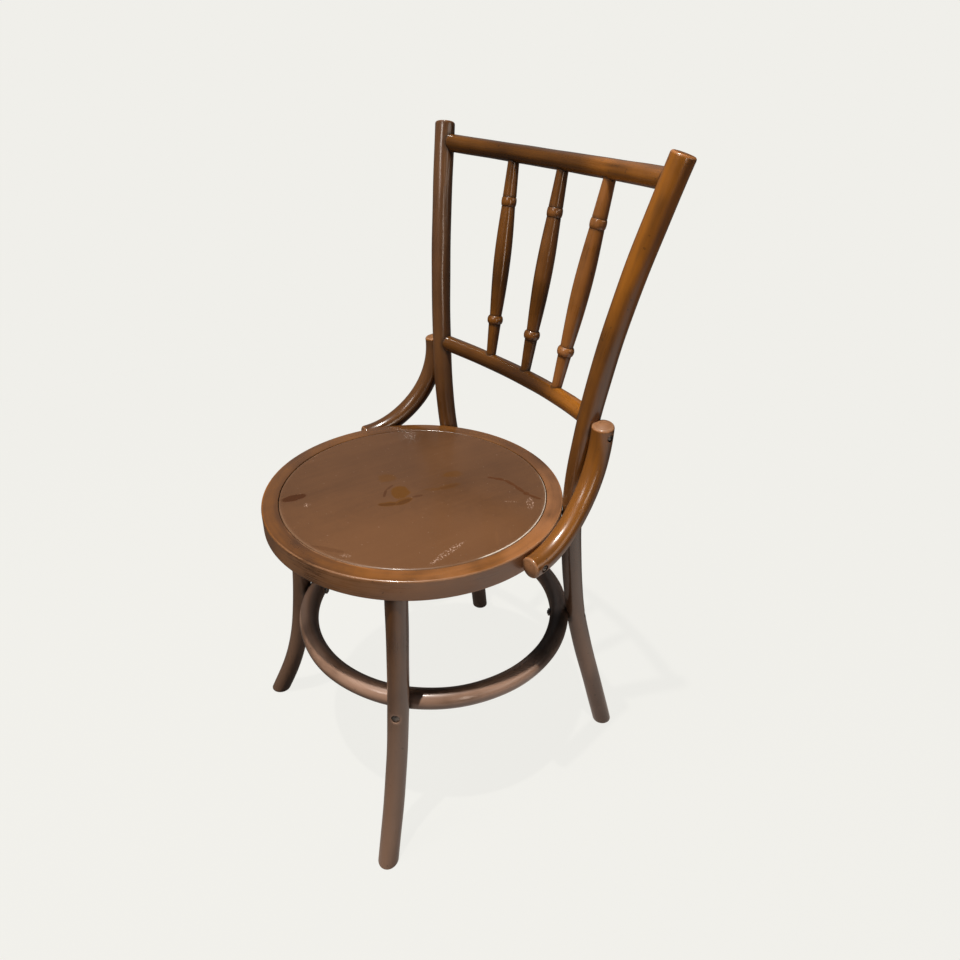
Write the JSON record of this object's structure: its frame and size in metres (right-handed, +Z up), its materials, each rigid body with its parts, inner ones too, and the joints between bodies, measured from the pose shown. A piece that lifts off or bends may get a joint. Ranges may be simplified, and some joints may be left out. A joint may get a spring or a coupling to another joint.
{
  "type": "spindle back chair",
  "caption": "Bentwood side chair: round plywood seat in a bent ring, sabre legs tied by a hoop, bent posts with hip braces and a back of turned spindles between bowed rails.",
  "frame": {"origin": "on the floor, under the centre of the chair's box", "axes": "+Z up, the chair faces -Y, +X is the sitter's left"},
  "size_m": [0.4694, 0.4698, 0.8931],
  "materials": {
    "bent_wood": "brown varnish, satin",
    "turned_wood": "brown varnish, satin",
    "seat_plywood": "worn brown varnish, satin",
    "fastener_steel": "dull and dark"
  },
  "bodies": {
    "root": {"seat_ring": "bent_wood", "front_leg_left": "bent_wood", "front_leg_right": "bent_wood", "back_post_left": "bent_wood", "back_post_right": "bent_wood", "hip_brace_left": "bent_wood", "hip_brace_right": "bent_wood", "leg_hoop": "bent_wood", "top_rail": "turned_wood", "lower_rail": "turned_wood", "spindle_left": "turned_wood", "spindle_middle": "turned_wood", "spindle_right": "turned_wood", "seat_panel": "seat_plywood", "hoop_front_left_bolt": "fastener_steel", "hoop_front_left_nut": "fastener_steel", "hoop_front_right_bolt": "fastener_steel", "hoop_front_right_nut": "fastener_steel", "hoop_rear_left_bolt": "fastener_steel", "hoop_rear_left_nut": "fastener_steel", "hoop_rear_right_bolt": "fastener_steel", "hoop_rear_right_nut": "fastener_steel", "seat_left_bolt": "fastener_steel", "seat_left_nut": "fastener_steel", "seat_right_bolt": "fastener_steel", "seat_right_nut": "fastener_steel", "brace_screw_upper_left": "fastener_steel", "brace_screw_upper_right": "fastener_steel", "brace_screw_lower_left": "fastener_steel", "brace_screw_lower_right": "fastener_steel"}
  },
  "joints": []
}
